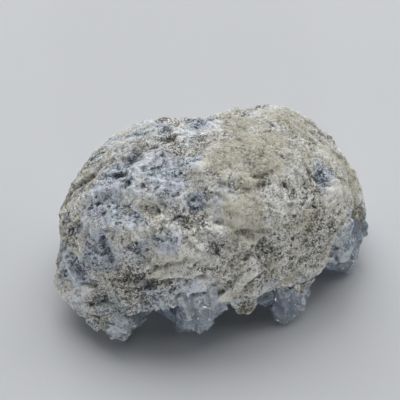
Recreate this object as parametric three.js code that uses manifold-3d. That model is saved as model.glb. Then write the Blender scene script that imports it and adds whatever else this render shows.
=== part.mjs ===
// A celestite druse: the domed half of a nodule, lying rind up on its crystals.
// The rind is a stone shell with an irregular broken rim. Blue celestite lines the hollow
// under it, and blocks of the same crystal stand out of the rim and carry the specimen.
// Units are millimetres. +Z is up, +X is the long way, and the specimen rests on z = 0.
import * as THREE from "three";
import { ConvexGeometry } from "three/addons/geometries/ConvexGeometry.js";
import { ImprovedNoise } from "three/addons/math/ImprovedNoise.js";
import { mergeVertices } from "three/addons/utils/BufferGeometryUtils.js";
import Module from "manifold-3d";

const wasm = await Module();
wasm.setup();

// ---- Driving dimensions ----
const HALF_LENGTH = 56; // of the rind, along X
const HALF_DEPTH = 36; // of the rind, along Y
const WAIST_HEIGHT = 24; // where the rind is widest
const CROWN_HEIGHT = 57; // top of the rind
const TUCK_DEPTH = 42; // how far below the waist the rind would close if it were whole
const SQUARENESS = 2.25; // 2 is an ellipsoid, more is boxier
const RIM_HEIGHT = 19; // mean height of the broken rim
const RIM_WAVE = 2.5; // how far the rim rises and falls between its named dips
const HOLLOW_HALF_LENGTH = 45; // of the hollow inside the rind
const HOLLOW_HALF_DEPTH = 29;
const HOLLOW_ROOF = 43;
const HOLLOW_TUCK = 32; // how far below the rim the hollow would close if it were whole
const LINING = 3.5; // thickness of the crystal lining before its crystals start
const LINING_CRYSTALS = 30;
const CRYSTAL_REACH = 14; // longest crystal of the lining
const LINING_TO_RIM = 1.12; // how far down from the crown the lining's crystals go, out of 2
const GAP = 0.3; // clearance between neighbouring solids
const RIND_DETAIL = 14; // subdivisions of the rind's outer sphere
const HOLLOW_DETAIL = 4; // and of the hollow's

// Unevenness of the whole outer surface, coarse and fine.
const OUTER_WAVES = [
  { height: 1.6, size: 19, shift: 0 },
  { height: 1.0, size: 9, shift: 3.1 },
];
const HOLLOW_WAVE = { height: 1.5, size: 14, shift: 7.7 };
const RIM_WAVE_SIZE = 8;

// Proportions of a crystal, as parts of its half width or its depth.
const SIDE_BEVEL = 0.62; // where the bevelled sides start
const CHISEL_EDGE = 0.5; // half length of the chisel's edge
const CHISEL_DROP = 0.45; // from the chisel's edge down to the shoulder

const up = new THREE.Vector3(0, 0, 1);
const waist = new THREE.Vector3(0, 0, WAIST_HEIGHT);
const hollowCentre = new THREE.Vector3(0, 0, RIM_HEIGHT);

// ---- Small helpers ----
const noiseField = new ImprovedNoise();

// Smooth noise between about -1 and 1, with features of the given size.
function noise(point, size, shift = 0) {
  return noiseField.noise(point.x / size + shift, point.y / size - shift, point.z / size + 2 * shift);
}

// 1 at the middle, falling smoothly to 0 at about twice the width.
function bell(distance, width) {
  return Math.exp(-((distance / width) ** 2));
}

// Repeatable random numbers between low and high.
function randomSource(seed) {
  let state = seed;
  return (low, high) => {
    state = (state * 1664525 + 1013904223) >>> 0;
    return low + ((high - low) * state) / 2 ** 32;
  };
}

function wave(point, { height, size, shift }) {
  return height * noise(point, size, shift);
}

function vector(coordinates) {
  return new THREE.Vector3(...coordinates);
}

function solidOf(geometry) {
  const bare = geometry.clone();
  bare.deleteAttribute("normal");
  bare.deleteAttribute("uv");
  const merged = mergeVertices(bare, 1e-4);
  return new wasm.Manifold(
    new wasm.Mesh({
      numProp: 3,
      vertProperties: merged.attributes.position.array,
      triVerts: new Uint32Array(merged.index.array),
    }),
  );
}

function geometryOf(solid) {
  const mesh = solid.getMesh();
  const geometry = new THREE.BufferGeometry();
  geometry.setAttribute("position", new THREE.BufferAttribute(mesh.vertProperties, 3));
  geometry.setIndex(new THREE.BufferAttribute(mesh.triVerts, 1));
  const flat = geometry.toNonIndexed();
  flat.computeVertexNormals();
  return flat;
}

function joined(solids) {
  return solids.reduce((sum, solid) => sum.add(solid));
}

// The largest connected body of a solid, so that crumbs cut loose are dropped.
function largestBody(solid) {
  return solid.decompose().reduce((best, body) => (body.volume() > best.volume() ? body : best));
}

// Everything above the surface that the specimen rests on.
function aboveTable() {
  const size = 4 * HALF_LENGTH;
  return solidOf(new THREE.BoxGeometry(size, size, size).translate(0, 0, size / 2));
}

// ---- Rind ----
// Lumps, ridges and hollows of the outer surface. Each follows a path of surface points,
// rises by so much (or sinks, when negative), and is so wide.
const FORMS = [
  // the overall build
  { path: [[-56, -10, 10], [-47, -25, 6]], rise: 7.0, width: 10 }, // low left end
  { path: [[-36, 23, 43], [-46, 13, 40]], rise: -3.2, width: 10 }, // left shoulder
  { path: [[51, -3, 35], [44, 6, 44]], rise: -5.5, width: 11 }, // flattened right shoulder
  { path: [[56, -8, 22]], rise: 3.0, width: 9 }, // right end
  { path: [[31, 21, 47]], rise: 2.4, width: 8 }, // crown bump
  { path: [[4, 24, 49], [19, 22, 50]], rise: -4.2, width: 8 }, // saddle beside it
  { path: [[-54, 6, 30], [-51, 15, 33]], rise: -1.8, width: 5 }, // cut under the left shoulder
  { path: [[5, 8, 56], [12, -14, 55], [2, -26, 48]], rise: 1.4, width: 8 }, // smooth plateau
  // crests
  { path: [[-42, -2, 48], [-31, -5, 52], [-24, 0, 55], [-15, 5, 57]], rise: 2.0, width: 2.6 },
  { path: [[-31, -5, 52], [-18, -9, 55], [-8, -10, 56]], rise: 1.3, width: 3.5 },
  { path: [[-30, -13, 51], [-18, -17, 53]], rise: 1.6, width: 5 },
  { path: [[-46, -12, 43], [-36, -20, 44], [-24, -23, 47]], rise: 1.3, width: 4 },
  { path: [[-7, -36, 20], [2, -37, 30]], rise: 1.8, width: 2.8 },
  { path: [[33, -24, 42], [38, -20, 42]], rise: 1.2, width: 2.5 },
  { path: [[-30, -31, 19], [-8, -35, 19], [14, -37, 20]], rise: 1.4, width: 2.5 },
  { path: [[0, -37, 11]], rise: 3.5, width: 4 }, // stub of rind that hangs at the front
  { path: [[14, -34, 17], [30, -30, 17]], rise: 1.5, width: 5 }, // lip of the rim at the front right
  // hollows and pits
  { path: [[-35, 3, 51], [-27, 6, 54]], rise: -2.4, width: 4.5 },
  { path: [[-32, -2, 52]], rise: -1.6, width: 2 },
  { path: [[-45, -18, 40]], rise: -3.6, width: 3.6 },
  { path: [[-52, -14, 28]], rise: -2.6, width: 3.6 },
  { path: [[-12, -21, 51]], rise: -2.2, width: 4.2 },
  { path: [[-14, 8, 56]], rise: -1.8, width: 2.6 },
  { path: [[-2, 12, 56]], rise: -1.3, width: 3.5 },
  { path: [[7, -35, 35]], rise: -2.2, width: 3.6 },
  { path: [[-10, -33, 40]], rise: -1.5, width: 3 },
  { path: [[34, -18, 48]], rise: -1.8, width: 4.5 },
  { path: [[48, -20, 25]], rise: -2.6, width: 4 },
  // ledges and cracks
  { path: [[-55, 2, 33], [-50, 7, 41], [-41, 8, 48], [-36, 10, 50]], rise: -1.7, width: 2.2 },
  { path: [[-36, -11, 50], [-26, -17, 51], [-17, -23, 50], [-9, -26, 48]], rise: -1.8, width: 2.4 },
  { path: [[-26, -17, 51], [-12, -31, 43], [10, -35, 32]], rise: -1.3, width: 3 },
  // the far side
  { path: [[-34, 26, 38], [-10, 33, 34], [18, 34, 30]], rise: 2.0, width: 5 },
  { path: [[-20, 34, 22], [8, 37, 18]], rise: -2.0, width: 5 },
  { path: [[40, 22, 30]], rise: -2.5, width: 6 },
  { path: [[-46, 20, 22]], rise: -2.0, width: 6 },
];
const rindForms = FORMS.map((form) => ({ ...form, path: form.path.map(vector) }));

// Where the broken rim dips below its mean height, or arches above it.
const RIM_FORMS = [
  { at: [-50, -22], rise: -16, width: 14 },
  { at: [-58, 4], rise: -6, width: 14 },
  { at: [-33, -28], rise: -1, width: 5 },
  { at: [-15, -36], rise: 3, width: 6 },
  { at: [0.5, -36], rise: -22, width: 4.6 },
  { at: [9, -38], rise: 3, width: 4 },
  { at: [25, -35], rise: -12, width: 8 },
  { at: [50, -20], rise: 9, width: 11 },
  { at: [-12, 38], rise: 4, width: 9 },
  { at: [46, 20], rise: -5, width: 10 },
];

function distanceToPath(point, path) {
  if (path.length === 1) return point.distanceTo(path[0]);
  const nearest = new THREE.Vector3();
  let least = Infinity;
  for (let i = 1; i < path.length; i++) {
    new THREE.Line3(path[i - 1], path[i]).closestPointToPoint(point, true, nearest);
    least = Math.min(least, nearest.distanceTo(point));
  }
  return least;
}

// Distance from the centre of a squarish ellipsoid to its surface, along a direction.
function plainRadius(direction, halfLength, halfDepth, rise, tuck) {
  const halfHeight = direction.z > 0 ? rise : tuck;
  const sum =
    Math.abs(direction.x / halfLength) ** SQUARENESS +
    Math.abs(direction.y / halfDepth) ** SQUARENESS +
    Math.abs(direction.z / halfHeight) ** SQUARENESS;
  return sum ** (-1 / SQUARENESS);
}

function outerPoint(direction, grow) {
  const plain = plainRadius(direction, HALF_LENGTH, HALF_DEPTH, CROWN_HEIGHT - WAIST_HEIGHT, TUCK_DEPTH);
  const point = waist.clone().addScaledVector(direction, plain);
  let rise = grow;
  for (const outerWave of OUTER_WAVES) rise += wave(point, outerWave);
  for (const form of rindForms) rise += form.rise * bell(distanceToPath(point, form.path), form.width);
  return waist.clone().addScaledVector(direction, plain + rise);
}

function roofPoint(direction, grow) {
  const rise = HOLLOW_ROOF - RIM_HEIGHT;
  const plain = plainRadius(direction, HOLLOW_HALF_LENGTH, HOLLOW_HALF_DEPTH, rise, HOLLOW_TUCK);
  const point = hollowCentre.clone().addScaledVector(direction, plain);
  return point.addScaledVector(direction, wave(point, HOLLOW_WAVE) + grow);
}

// A sphere whose every vertex is moved to where the given function puts its direction.
function shapedSphere(detail, place, grow) {
  const geometry = new THREE.IcosahedronGeometry(1, detail);
  const position = geometry.attributes.position;
  const direction = new THREE.Vector3();
  for (let i = 0; i < position.count; i++) {
    direction.fromBufferAttribute(position, i).normalize();
    const placed = place(direction, grow);
    position.setXYZ(i, placed.x, placed.y, placed.z);
  }
  return solidOf(geometry);
}

function rimHeight(x, y) {
  let height = RIM_HEIGHT + RIM_WAVE * noise(new THREE.Vector3(x, y, 0), RIM_WAVE_SIZE, 1.3);
  for (const form of RIM_FORMS) {
    height += form.rise * bell(Math.hypot(x - form.at[0], y - form.at[1]), form.width);
  }
  return height;
}

// The part of the nodule that broke away: a block whose top is the uneven fracture.
function fractureBlock(drop) {
  const height = 60;
  const length = 2.3 * HALF_LENGTH;
  const depth = 2.3 * HALF_DEPTH;
  const cell = 4.8;
  const columns = Math.round(length / cell);
  const rows = Math.round(depth / cell);
  const geometry = new THREE.BoxGeometry(length, depth, height, columns, rows, 1);
  const position = geometry.attributes.position;
  for (let i = 0; i < position.count; i++) {
    const top = position.getZ(i) > 0;
    position.setZ(i, top ? rimHeight(position.getX(i), position.getY(i)) - drop : -height);
  }
  return solidOf(geometry);
}

// The rind, or with grow above 0 the space that its neighbours keep clear of.
function rindSolid(grow) {
  const whole = shapedSphere(RIND_DETAIL, outerPoint, grow);
  const hollow = shapedSphere(HOLLOW_DETAIL, roofPoint, -grow);
  return whole.subtract(fractureBlock(grow)).subtract(hollow);
}

// ---- Crystals ----
// A blocky prism with a chisel end, from its foot to its tip. Its width lies along the
// chisel's edge, and the turn is about its own axis.
function crystal({ foot, tip, width, depth, turn = 0 }, grow = 0) {
  const axis = new THREE.Vector3().subVectors(tip, foot);
  const length = axis.length() + grow;
  axis.normalize();
  const stand = new THREE.Quaternion().setFromUnitVectors(up, axis);
  stand.multiply(new THREE.Quaternion().setFromAxisAngle(up, turn));
  const halfWidth = width / 2 + grow;
  const halfDepth = depth / 2 + grow;
  const shoulder = length - CHISEL_DROP * depth;
  const points = [];
  for (const height of [-grow, shoulder]) {
    for (const side of [-1, 1]) {
      points.push([side * halfWidth, 0, height]);
      points.push([side * SIDE_BEVEL * halfWidth, halfDepth, height]);
      points.push([side * SIDE_BEVEL * halfWidth, -halfDepth, height]);
    }
  }
  points.push([-CHISEL_EDGE * halfWidth, 0, length], [CHISEL_EDGE * halfWidth, 0, length]);
  const placed = points.map((point) => vector(point).applyQuaternion(stand).add(foot));
  return solidOf(new ConvexGeometry(placed));
}

// Crystals that stand at the rim, by group. Each has its foot in the rim and its tip outside it.
const RIM_GROUPS = {
  left: [
    { foot: [-41, -20, 15], tip: [-43, -27, -1], width: 11, depth: 8, turn: 0.4 },
    { foot: [-47, -16, 14], tip: [-50, -24, 3], width: 10, depth: 8, turn: 1.1 },
    { foot: [-37, -20, 16], tip: [-37, -27, 3], width: 10, depth: 8, turn: -0.3 },
    { foot: [-43, -19, 18], tip: [-43, -31, 7], width: 10, depth: 9, turn: 0.9 },
    { foot: [-34, -19, 17], tip: [-32, -25, 6], width: 8, depth: 7, turn: 0.2 },
    { foot: [-50, -10, 12], tip: [-54, -14, 4], width: 9, depth: 7, turn: 0.7 },
  ],
  front: [
    { foot: [-19, -26, 18], tip: [-20, -31, -1], width: 8, depth: 6, turn: 0.2 },
    { foot: [-15, -26, 18], tip: [-14, -33, -0.5], width: 9, depth: 7, turn: -0.4 },
    { foot: [-24, -24, 18], tip: [-26, -30, 8], width: 9, depth: 5, turn: 0.6 },
    { foot: [-11, -27, 19], tip: [-9, -34, 7], width: 8, depth: 7, turn: 0.3 },
    { foot: [-18, -26, 19], tip: [-17, -35, 9], width: 8, depth: 6, turn: 1.2 },
    { foot: [-6, -26, 18], tip: [-5, -32, 9], width: 8, depth: 6, turn: -0.6 },
  ],
  right: [
    { foot: [13, -27, 22], tip: [17, -38, -1], width: 11, depth: 9, turn: 0.3 },
    { foot: [8, -26, 22], tip: [10, -36, 9], width: 12, depth: 7, turn: -0.2 },
    { foot: [18, -27, 22], tip: [20, -38, 3], width: 8, depth: 8, turn: 0.8 },
    { foot: [22, -25, 20], tip: [25, -33, 8], width: 8, depth: 6, turn: 0.1 },
    { foot: [3, -26, 18], tip: [3, -31, 8], width: 9, depth: 6, turn: 0.9 },
  ],
  end: [
    { foot: [40, -14, 20], tip: [47, -22, -1], width: 13, depth: 10, turn: 0.5 },
    { foot: [42, -12, 24], tip: [53, -17, 9], width: 12, depth: 10, turn: -0.4 },
    { foot: [38, -15, 24], tip: [46, -25, 14], width: 11, depth: 9, turn: 0.9 },
    { foot: [36, -17, 22], tip: [39, -27, 8], width: 11, depth: 8, turn: 0.1 },
    { foot: [43, -10, 26], tip: [54, -16, 20], width: 9, depth: 8, turn: 1.2 },
    { foot: [44, -6, 20], tip: [54, -6, 7], width: 11, depth: 9, turn: 0.3 },
  ],
  back_left: [
    { foot: [-30, 20, 20], tip: [-33, 27, -1], width: 13, depth: 9, turn: -0.3 },
    { foot: [-24, 22, 20], tip: [-22, 30, 4], width: 11, depth: 8, turn: 0.5 },
    { foot: [-36, 16, 20], tip: [-42, 22, 5], width: 11, depth: 9, turn: 1.0 },
  ],
  back_right: [
    { foot: [26, 21, 20], tip: [29, 28, -1], width: 13, depth: 9, turn: 0.4 },
    { foot: [20, 22, 20], tip: [18, 31, 5], width: 11, depth: 8, turn: -0.5 },
    { foot: [33, 17, 20], tip: [39, 22, 3], width: 11, depth: 9, turn: 0.8 },
  ],
};

function rimGroup(rows, grow) {
  const crystals = rows.map((row) => ({ ...row, foot: vector(row.foot), tip: vector(row.tip) }));
  return joined(crystals.map((row) => crystal(row, grow)));
}

// The lining of the hollow and the crystals that stand on it and point into the hollow.
function crustSolid() {
  const outside = shapedSphere(HOLLOW_DETAIL, roofPoint, -GAP);
  const inside = shapedSphere(HOLLOW_DETAIL, roofPoint, -GAP - LINING);
  const random = randomSource(41);
  const crystals = [];
  for (let i = 0; i < LINING_CRYSTALS; i++) {
    // evenly spread directions, from the crown of the hollow down to its rim
    const height = 1 - (LINING_TO_RIM * (i + 0.5)) / LINING_CRYSTALS;
    const angle = i * Math.PI * (3 - Math.sqrt(5));
    const flat = Math.sqrt(1 - height * height);
    const direction = new THREE.Vector3(flat * Math.cos(angle), flat * Math.sin(angle), height);
    const foot = roofPoint(direction, -GAP - 0.6 * LINING);
    const size = random(0.6, 1);
    const lean = new THREE.Vector3(random(-0.4, 0.4), random(-0.4, 0.4), random(-0.3, 0.3));
    const inward = direction.clone().negate().add(lean).normalize();
    const tip = foot.clone().addScaledVector(inward, CRYSTAL_REACH * size);
    const width = random(9, 13) * size;
    crystals.push(crystal({ foot, tip, width, depth: width * random(0.55, 0.9), turn: random(0, 3) }));
  }
  return joined([outside.subtract(inside), ...crystals]).intersect(outside);
}

// ---- Assembly ----
const stone = new THREE.MeshStandardMaterial({ color: 0x9c9a92, roughness: 0.95, metalness: 0 });
const celestite = new THREE.MeshStandardMaterial({ color: 0x9fb2c4, roughness: 0.2, metalness: 0 });

function makeMesh(name, solid, material) {
  const mesh = new THREE.Mesh(geometryOf(largestBody(solid)), material);
  mesh.name = name;
  return mesh;
}

const druse = new THREE.Group();
druse.add(makeMesh("rind", rindSolid(0), stone));

const clearOfRind = rindSolid(GAP);
const room = aboveTable();
let crust = crustSolid().subtract(fractureBlock(0));
for (const [place, rows] of Object.entries(RIM_GROUPS)) {
  const group = rimGroup(rows, 0).subtract(clearOfRind).intersect(room);
  druse.add(makeMesh(`rim_crystals_${place}`, group, celestite));
  crust = crust.subtract(rimGroup(rows, GAP));
}
druse.add(makeMesh("crystal_crust", crust, celestite));

// The origin is under the middle of the specimen, on the surface that it rests on.
const extent = new THREE.Box3().setFromObject(druse);
const middle = extent.getCenter(new THREE.Vector3());
druse.position.set(-middle.x, -middle.y, -extent.min.z);

export default druse;
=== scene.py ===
"""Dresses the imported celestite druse: its rough rind, its rim's crystals and the crust in its hollow."""

import logging
import math
import random
from dataclasses import dataclass, field
from enum import Enum
from typing import Any, Sequence

import bpy
import numpy as np
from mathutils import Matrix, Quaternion, Vector, noise
from mathutils.bvhtree import BVHTree


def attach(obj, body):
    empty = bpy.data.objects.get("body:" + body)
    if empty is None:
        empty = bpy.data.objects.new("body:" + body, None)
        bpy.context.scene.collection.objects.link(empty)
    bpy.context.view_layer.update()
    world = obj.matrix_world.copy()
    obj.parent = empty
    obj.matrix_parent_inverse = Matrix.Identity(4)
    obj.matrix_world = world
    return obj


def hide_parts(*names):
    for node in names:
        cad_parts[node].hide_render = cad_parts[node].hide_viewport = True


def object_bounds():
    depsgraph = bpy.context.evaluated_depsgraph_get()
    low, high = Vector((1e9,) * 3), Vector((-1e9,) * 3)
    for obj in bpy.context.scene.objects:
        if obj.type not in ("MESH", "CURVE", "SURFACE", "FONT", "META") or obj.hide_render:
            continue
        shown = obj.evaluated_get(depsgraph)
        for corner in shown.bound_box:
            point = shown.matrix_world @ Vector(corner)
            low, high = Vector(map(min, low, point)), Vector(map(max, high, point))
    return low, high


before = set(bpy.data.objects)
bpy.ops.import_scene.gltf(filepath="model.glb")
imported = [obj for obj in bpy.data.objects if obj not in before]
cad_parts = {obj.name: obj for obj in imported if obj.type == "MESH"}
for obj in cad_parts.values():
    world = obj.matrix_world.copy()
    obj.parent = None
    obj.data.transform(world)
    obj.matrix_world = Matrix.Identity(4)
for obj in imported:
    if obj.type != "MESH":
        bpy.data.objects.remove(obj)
CAD_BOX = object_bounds()

MM = 0.001
WELD_GAP = 0.001 * MM
CELESTITE_IOR = 1.62
MID_GREY = (0.5, 0.5, 0.5)
BODY = "root"
RIM_NODES = tuple(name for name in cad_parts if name.startswith("rim_crystals"))
CRUST_NODE = "crystal_crust"
LOG = logging.getLogger("druse")

Point = tuple[float, float, float]
Colour = tuple[float, float, float]
Model = tuple[np.ndarray, list[list[int]]]
Piece = bpy.types.Object
Material = bpy.types.Material
Node = bpy.types.Node
Socket = bpy.types.NodeSocket
Tree = bpy.types.NodeTree


class Slot(Enum):
    """The record's material slots."""

    STONE = "rind_stone"
    CELESTITE = "celestite"


class Stain(Enum):
    """What lies on the stone in patches; the dark patches are partly painted shade. Each value names the
    attribute that holds its mask.
    """

    BLUE = "stain_blue"
    BUFF = "stain_buff"
    PALE = "stain_pale"
    PEPPER = "stain_pepper"
    # dark stains and painted shade on shaded sides and in hollows; on the crystals, their clear deep windows
    DARK = "stain_dark"
    RIME = "stain_rime"


class Tint(Enum):
    """The colour in the depth of a clear crystal."""

    SKY = (0.54, 0.67, 0.80)
    PALE_SKY = (0.62, 0.76, 0.90)
    SLATE = (0.42, 0.53, 0.65)
    SEA_GREY = (0.62, 0.69, 0.69)


class Pattern(Enum):
    """The shape of one layer of the stone's relief."""

    CLOUDS = "rounded swells"
    BILLOWS = "lumps parted by sharp creases"
    DOMES = "grains"
    CHIPS = "flat facets at odd tilts"
    VEINS = "a net of raised seams"
    PITS = "scattered round holes"


# ---------------------------------------------------------------- mesh helpers


def select_only(piece: Piece) -> None:
    """Selects this object and nothing else, and makes it active.

    Args:
        piece: the object.
    """
    bpy.ops.object.select_all(action="DESELECT")
    piece.select_set(True)
    bpy.context.view_layer.objects.active = piece


def copy_of_node(node: str, name: str) -> Piece:
    """Copies a CAD node's mesh and merges its loose triangles.

    Args:
        node: the CAD node's name.
        name: the new object's name.

    Returns:
        The new object, at the origin, with no material.
    """
    piece = bpy.data.objects.new(name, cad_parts[node].data.copy())
    bpy.context.scene.collection.objects.link(piece)
    piece.data.materials.clear()
    select_only(piece)
    bpy.ops.object.mode_set(mode="EDIT")
    bpy.ops.mesh.select_all(action="SELECT")
    bpy.ops.mesh.remove_doubles(threshold=WELD_GAP)
    bpy.ops.object.mode_set(mode="OBJECT")
    return piece


def apply_modifier(piece: Piece, kind: str, **settings: Any) -> None:
    """Adds a modifier to a piece and applies it.

    Args:
        piece: the object.
        kind: the modifier's type.
        settings: the modifier's own settings.
    """
    modifier = piece.modifiers.new(kind.lower(), kind)
    for setting, value in settings.items():
        setattr(modifier, setting, value)
    select_only(piece)
    bpy.ops.object.modifier_apply(modifier=modifier.name)


def rows_of(elements: Any, key: str, width: int, kind: type) -> np.ndarray:
    """Reads one property of all vertices, edges or normals of a mesh.

    Args:
        elements: the mesh's list of them.
        key: the property's name.
        width: how many numbers each has.
        kind: the type of the numbers.

    Returns:
        One row for each.
    """
    rows = np.empty(len(elements) * width, kind)
    elements.foreach_get(key, rows)
    return rows.reshape(-1, width)


def points_of(piece: Piece) -> np.ndarray:
    """The piece's vertices as rows of x, y, z in metres."""
    return rows_of(piece.data.vertices, "co", 3, np.float32).astype(float)


def normals_of(piece: Piece) -> np.ndarray:
    """The piece's vertex normals as rows of x, y, z."""
    return rows_of(piece.data.vertex_normals, "vector", 3, np.float32).astype(float)


def edges_of(piece: Piece) -> np.ndarray:
    """The piece's edges as rows of two vertex numbers."""
    return rows_of(piece.data.edges, "vertices", 2, np.int32)


def move_points(piece: Piece, points: np.ndarray) -> None:
    """Puts the piece's vertices at these places."""
    piece.data.vertices.foreach_set("co", points.astype(np.float32).ravel())
    piece.data.update()


def smoothed(points: np.ndarray, edges: np.ndarray, rounds: int) -> np.ndarray:
    """Relaxes points towards the mean of their neighbours.

    Args:
        points: one row for each vertex.
        edges: rows of two vertex numbers.
        rounds: how many times the points relax.

    Returns:
        The relaxed points.
    """
    first, second = edges.T
    count = len(points)
    degree = np.bincount(edges.ravel(), minlength=count)[:, None]
    for _ in range(rounds):
        total = np.empty_like(points)
        for axis in range(points.shape[1]):
            total[:, axis] = np.bincount(first, points[second, axis], count)
            total[:, axis] += np.bincount(second, points[first, axis], count)
        points = 0.5 * points + 0.5 * total / degree
    return points


def distance_to_path(points: np.ndarray, path: Sequence[Point]) -> np.ndarray:
    """Measures how far points are from a line through the path's stops.

    Args:
        points: rows of x, y, z in metres.
        path: the stops, in millimetres. There may be only one.

    Returns:
        Each point's distance, in metres.
    """
    stops = np.array(path, float) * MM
    best = np.linalg.norm(points - stops[0], axis=1)
    for start, end in zip(stops, stops[1:]):
        span = end - start
        along = np.clip((points - start) @ span / (span @ span), 0, 1)
        best = np.minimum(best, np.linalg.norm(points - start - along[:, None] * span, axis=1))
    return best


def surface_of(*nodes: str) -> BVHTree:
    """Gathers the surface of CAD nodes, for measuring distances to it.

    Args:
        nodes: the nodes' names.

    Returns:
        Their surfaces together.
    """
    places, corners = [], []
    for name in nodes:
        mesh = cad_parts[name].data
        start = len(places)
        places.extend(vertex.co.copy() for vertex in mesh.vertices)
        corners.extend([start + v for v in face.vertices] for face in mesh.polygons)
    return BVHTree.FromPolygons(places, corners)


def gaps_to(points: np.ndarray, surface: BVHTree) -> np.ndarray:
    """How far each point is from a surface, in metres."""
    return np.array([surface.find_nearest(Vector(point))[3] for point in points])


def clouds_at(points: np.ndarray, size: float, roughness: float, layers: int) -> np.ndarray:
    """Fractal noise round 0 at each point, whose largest features are of this size in metres."""
    return np.array([noise.fractal(Vector(p) / size, roughness, 2.0, layers) for p in points])


def smooth_step(values: np.ndarray, low: float, high: float) -> np.ndarray:
    """Rises smoothly from 0 at low to 1 at high."""
    share = np.clip((values - low) / (high - low), 0, 1)
    return share * share * (3 - 2 * share)


def weigh(piece: Piece, name: str, weights: np.ndarray, levels: int = 40) -> None:
    """Gives a piece a vertex group.

    Args:
        piece: the object that gets the group.
        name: the group's name.
        weights: one weight for each vertex, from 0 to 1.
        levels: how many different weights are kept.
    """
    group = piece.vertex_groups.new(name=name)
    steps = np.rint(weights * levels).astype(int)
    for step in range(1, levels + 1):
        chosen = np.flatnonzero(steps == step)
        if len(chosen):
            group.add(chosen.tolist(), step / levels, "REPLACE")


def keep_attribute(piece: Piece, name: str, values: np.ndarray) -> None:
    """Stores one number for each vertex, for the materials to read."""
    attribute = piece.data.attributes.new(name, "FLOAT", "POINT")
    attribute.data.foreach_set("value", values.astype(np.float32))


def settle(piece: Piece, slot: Slot, *nodes: str) -> None:
    """Hands a finished piece to the frame and reports it.

    Args:
        piece: the finished object.
        slot: not used.
        nodes: the CAD nodes that it stands for.
    """
    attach(piece, BODY)
    if nodes:
        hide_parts(*nodes)
    faces = len(piece.data.polygons)
    triangles = sum(len(face.vertices) - 2 for face in piece.data.polygons)
    LOG.info("%s: %d faces, %d triangles", piece.name, faces, triangles)


# ---------------------------------------------------------------- shader helpers


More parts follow.
